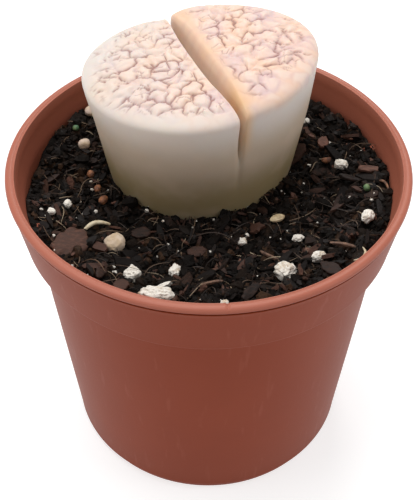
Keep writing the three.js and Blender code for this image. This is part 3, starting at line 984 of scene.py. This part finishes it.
def makeFibres(random):
    # thin bent roots and coir: a four-sided tube along a bowed line
    count = mixForm["fibres"]
    steps = 8
    along = np.linspace(-1, 1, steps)
    section = np.array([(1, 0), (0, 1), (-1, 0), (0, -1)])
    places = scatterPlaces(random, count, 23.5)
    count = len(places)
    length = np.exp(random.normal(0.35, 0.4, count))
    thick = random.uniform(0.035, 0.085, count)
    bow = random.uniform(-0.5, 0.5, count) * length
    lift = random.uniform(0.1, 0.6, count)
    sway = random.uniform(-0.25, 0.25, count) * length
    middle = np.stack([along[None] * length[:, None] * np.ones((count, 1)),
                       bow[:, None] * (1 - along[None] ** 2) + sway[:, None] * along[None] ** 3,
                       lift[:, None] * (1 - along[None] ** 2)], -1)
    thin = np.sqrt(1.05 - along ** 2)[None, :, None]
    tube = middle[:, :, None, :] + np.concatenate(
        [np.zeros((count, steps, 4, 1)), (thick[:, None, None] * thin)[..., None] * section[None, None]], -1)
    shape = tube.reshape(count, steps * 4, 3)
    quads = gridQuads(steps, 4, wrapColumns=True)
    faces = np.concatenate([quads[:, [0, 1, 2]], quads[:, [0, 2, 3]],
                            np.array([[0, 2, 1], [0, 3, 2]]),
                            np.array([[0, 1, 2], [0, 2, 3]]) + (steps - 1) * 4])
    keepInside(places, length * 0.9)
    places[:, 2] += 0.15
    tone = random.uniform(0, 1, count)
    piece = repeated("root_threads", shape, faces, np.ones((count, 3)), randomTurns(random, count, 14),
                     places, {"tone": tone})
    return finishPiece(piece, makeThread(), "root_fibre")


def makeSpecks(random):
    count = mixForm["specks"]
    shape, faces = ballShape(3, 6)
    places = scatterPlaces(random, count, 24.4)
    count = len(places)
    size = random.uniform(0.09, 0.30, count)
    scales = size[:, None] * random.uniform(0.7, 1.2, (count, 3))
    places[:, 2] += 0.30
    keepInside(places, size)
    piece = repeated("perlite_specks", roughCopies(random, shape, count, 0.25), faces, scales,
                     randomTurns(random, count, 180), places, {"tone": random.uniform(0, 1, count)})
    return finishPiece(piece, makePerliteFinish(), "perlite")


def makeBark(name):
    bark = Finish(name)
    tone = bark.mark("tone")
    grainPlace = bark.node("ShaderNodeMapping", None, {"Vector": bark.place, "Scale": (1.0, 2.4, 2.4),
                                                       "Rotation": (0, 0, 0.6)})
    grain = bark.node("ShaderNodeTexNoise", None, {"Vector": grainPlace, "Scale": metre / 0.9, "Detail": 5.0,
                                                   "Roughness": 0.65})
    stops = [(0.0, (0.004, 0.0025, 0.002)), (0.45, (0.012, 0.007, 0.005)), (0.75, (0.075, 0.035, 0.024)),
             (1.0, (0.24, 0.115, 0.080))]
    value = (tone * 0.75 + grain * 0.45 - 0.12).clamped()
    colour = bark.node("ShaderNodeValToRGB", {"stops": stops}, {"Fac": value})
    bumps = bark.bump(grain, 0.6, 0.18)
    return bark.shade({"Base Color": colour, "Roughness": 0.40 + 0.4 * grain, "Normal": bumps,
                       "Specular IOR Level": 0.2})


def makeThread():
    thread = Finish("root_fibre")
    stops = [(0.0, (0.012, 0.008, 0.006)), (0.6, (0.05, 0.028, 0.017)), (0.85, (0.16, 0.10, 0.06)),
             (1.0, (0.42, 0.33, 0.22))]
    tone = (thread.mark("tone") + thread.spots(1.0) * 0.2 - 0.1).clamped()
    colour = thread.node("ShaderNodeValToRGB", {"stops": stops}, {"Fac": tone})
    return thread.shade({"Base Color": colour, "Roughness": 0.6,
                         "Normal": thread.bump(thread.spots(0.2), 0.4, 0.05)})


def makePerliteFinish():
    perlite = Finish("perlite")
    stain = perlite.spread(perlite.spots(1.1, 4.0), 0.50, 0.72)
    fine = perlite.spots(0.22, 4.0, 0.6)
    colour = perlite.mix(stain * 0.75, (0.84, 0.79, 0.71), (0.56, 0.42, 0.27))
    colour = perlite.mix(perlite.spread(fine, 0.60, 0.72) * 0.55, colour, (0.30, 0.22, 0.15))
    pits = perlite.node("ShaderNodeTexVoronoi", None, {"Vector": perlite.place, "Scale": metre / 0.34},
                        output="Distance")
    bumps = perlite.bump(pits, 0.5, 0.14)
    bumps = perlite.bump(fine, 0.4, 0.08, bumps)
    return perlite.shade({"Base Color": colour, "Roughness": 0.85, "Normal": bumps,
                          "Specular IOR Level": 0.25})


random = np.random.default_rng(7)
makeCrumbs(random)
makeFlakes(random)
makeFibres(random)
makeSpecks(random)
print("scatter ready")


def nodeAxes(node):
    # a node's middle, its own three directions (long, wide, thick) and its half sizes along them
    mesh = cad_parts[node].data
    corners = np.empty(len(mesh.vertices) * 3)
    mesh.vertices.foreach_get("co", corners)
    corners = corners.reshape(-1, 3) * metre
    middle = (corners.max(0) + corners.min(0)) / 2
    _, _, axes = np.linalg.svd(corners - corners.mean(0), full_matrices=False)
    if axes[2, 2] < 0:
        axes[2] *= -1
    axes[1] = np.cross(axes[2], axes[0])
    half = np.abs((corners - middle) @ axes.T).max(0)
    return middle, axes, half


def ballGrid(rings, segments):
    rise = np.linspace(-math.pi / 2, math.pi / 2, rings)
    swing = np.linspace(0, turnFull, segments, endpoint=False)
    return np.meshgrid(rise, swing, indexing="ij")


def closedBall(name, grid, marks):
    # a rings x segments grid whose first and last rings are poles
    rings, segments = grid.shape[:2]
    body = grid[1:-1].reshape(-1, 3)
    points = np.concatenate([body, grid[0, :1], grid[-1, :1]])
    quads = gridQuads(rings - 2, segments, wrapColumns=True)
    low = fan(np.arange(segments), len(body))[:, ::-1]
    high = fan(np.arange(segments) + (rings - 3) * segments, len(body) + 1)
    flat = {key: np.full(len(points), value) for key, value in marks.items()}
    return makeMesh(name, points, [quads, low, high], flat)


def lumpGrid(half, seed, roughness, pits, squareness=0.85):
    # a ball pushed out and in by noise, with round pits pressed into it
    up, around = ballGrid(30, 44)
    ball = np.stack([np.cos(up) * np.cos(around), np.cos(up) * np.sin(around), np.sin(up)], -1)
    shaped = np.sign(ball) * np.abs(ball) ** squareness
    size = 1 + roughness * fractal(ball * 2 + seed, 1.1, seed, 3)
    near, second, tone = pebbleCells(ball * 2 + seed * 3.1, 0.55, seed)
    size = size - pits * (1 - ramp(near, 0.15, 0.55)) * (tone > 0.35)
    return shaped * size[..., None] * half


def plateGrid(half, seed, torn):
    # a flat plate with a torn outline and a layered, slightly cupped face
    up, around = ballGrid(22, 72)
    circle = np.stack([np.cos(around), np.sin(around), 0 * around], -1)
    rim = 1 + torn * fractal(circle * 2 + seed, 0.7, seed, 3)
    flatness = np.sign(np.sin(up)) * np.abs(np.sin(up)) ** 0.35
    spread = np.cos(up) ** 0.55
    x = spread * np.cos(around) * rim * half[0]
    y = spread * np.sin(around) * rim * half[1]
    face = np.stack([x, y, 0 * x], -1)
    layers = 0.35 * fractal(face * (0.5, 1.6, 1) + seed, 0.9, seed + 4, 3) * half[2]
    z = flatness * half[2] * 0.75 + layers * spread + 0.25 * half[2] * (x / half[0]) ** 2
    return np.stack([x, y, z], -1)


def huskGrid(half, seed):
    # a pointed, ribbed hull
    up, around = ballGrid(40, 40)
    along = np.sin(up)
    thick = np.cos(up) ** 1.3 * (1 + 0.06 * np.cos(9 * around))
    return np.stack([along * half[0], thick * np.cos(around) * half[1], thick * np.sin(around) * half[2]], -1)


def curlGrid(half, seed):
    # a strip bowed along its length, thinning to both ends
    up, around = ballGrid(40, 20)
    along = np.sin(up)
    thick = 0.18 * half[0] * np.cos(up) ** 0.5 + 0.02
    bow = (1 - along ** 2) * half[1] * 1.2 - half[1] * 0.5
    y = bow + thick * np.cos(around) * 0.8
    z = thick * np.sin(around) * 0.7 + 0.12 * np.sin(3 * along + seed)
    return np.stack([along * half[0], y, z], -1)


def makePebbleFinish():
    pebble = Finish("pebble_stone")
    tone = pebble.mark("tone")
    blotch = pebble.spread(pebble.spots(1.3, 4.0), 0.4, 0.65)
    colour = pebble.mix(tone, (0.72, 0.60, 0.42), (0.56, 0.42, 0.38))
    colour = pebble.mix(blotch * 0.6, colour, (0.50, 0.36, 0.20))
    fine = pebble.spots(0.25, 4.0)
    colour = pebble.mix(pebble.spread(fine, 0.58, 0.75) * 0.4, colour, (0.14, 0.10, 0.08))
    return pebble.shade({"Base Color": colour, "Roughness": 0.6 + 0.2 * fine,
                         "Normal": pebble.bump(fine, 0.5, 0.12), "Specular IOR Level": 0.4})


def makePlain(name, first, second, roughness):
    # a small matt thing of two blended colours
    plain = Finish(name)
    cloud = plain.spread(plain.spots(0.7, 4.0), 0.35, 0.65)
    fine = plain.spots(0.2, 4.0)
    return plain.shade({"Base Color": plain.mix(cloud, first, second), "Roughness": roughness + 0.15 * fine,
                        "Normal": plain.bump(fine, 0.35, 0.08)})


barkMaterial = makeBark("bark_chip")
woodMaterial = makePlain("wood_fibre", (0.20, 0.11, 0.07), (0.09, 0.05, 0.035), 0.7)
rootMaterial = makePlain("pale_root", (0.72, 0.62, 0.44), (0.45, 0.34, 0.20), 0.6)
leafMaterial = makePlain("dry_leaf", (0.30, 0.14, 0.07), (0.12, 0.06, 0.035), 0.6)
huskMaterial = makePlain("seed_husk", (0.78, 0.63, 0.40), (0.50, 0.38, 0.22), 0.5)
greenMaterial = makePlain("green_prill", (0.07, 0.16, 0.08), (0.16, 0.24, 0.10), 0.5)
orangeMaterial = makePlain("orange_prill", (0.34, 0.13, 0.05), (0.12, 0.05, 0.03), 0.6)
looseKinds = {
    # kind: (grid rule, its extra values, material, slot)
    "perlite": (lumpGrid, (0.32, 0.30), makePerliteFinish(), "perlite"),
    "pebble": (lumpGrid, (0.13, 0.05), makePebbleFinish(), "pebble_stone"),
    "bark_chip": (plateGrid, (0.20,), barkMaterial, "bark"),
    "wood_sliver": (plateGrid, (0.12,), woodMaterial, "wood_fibre"),
    "root_fibre": (curlGrid, (), rootMaterial, "root_fibre"),
    "curled_leaf": (curlGrid, (), leafMaterial, "dry_leaf"),
    "seed_husk": (huskGrid, (), huskMaterial, "seed_husk"),
    "green_prill": (lumpGrid, (0.06, 0.0), greenMaterial, "green_prill"),
    "orange_prill": (lumpGrid, (0.14, 0.08), orangeMaterial, "orange_prill"),
}
# the tone of the chips whose colour stands out; the others' goes round with their number
paleChips = {"bark_chip_01": 0.86, "bark_chip_03": 0.95, "bark_chip_08": 1.0, "bark_chip_09": 1.0}


def makeLoosePiece(node, kind, seed):
    rule, values, material, slot = looseKinds[kind]
    middle, axes, half = nodeAxes(node)
    grid = rule(half, seed, *values) @ axes + middle
    tone = paleChips.get(node, 0.35 + 0.45 * ((seed * 0.37) % 1.0))
    piece = closedBall(node + "_piece", grid, {"tone": tone})
    return finishPiece(piece, material, slot, node)


for seed, node in enumerate(looseNodes, start=3):
    makeLoosePiece(node, node.rstrip("0123456789").rstrip("_"), seed)
print("loose pieces ready", len(looseNodes))
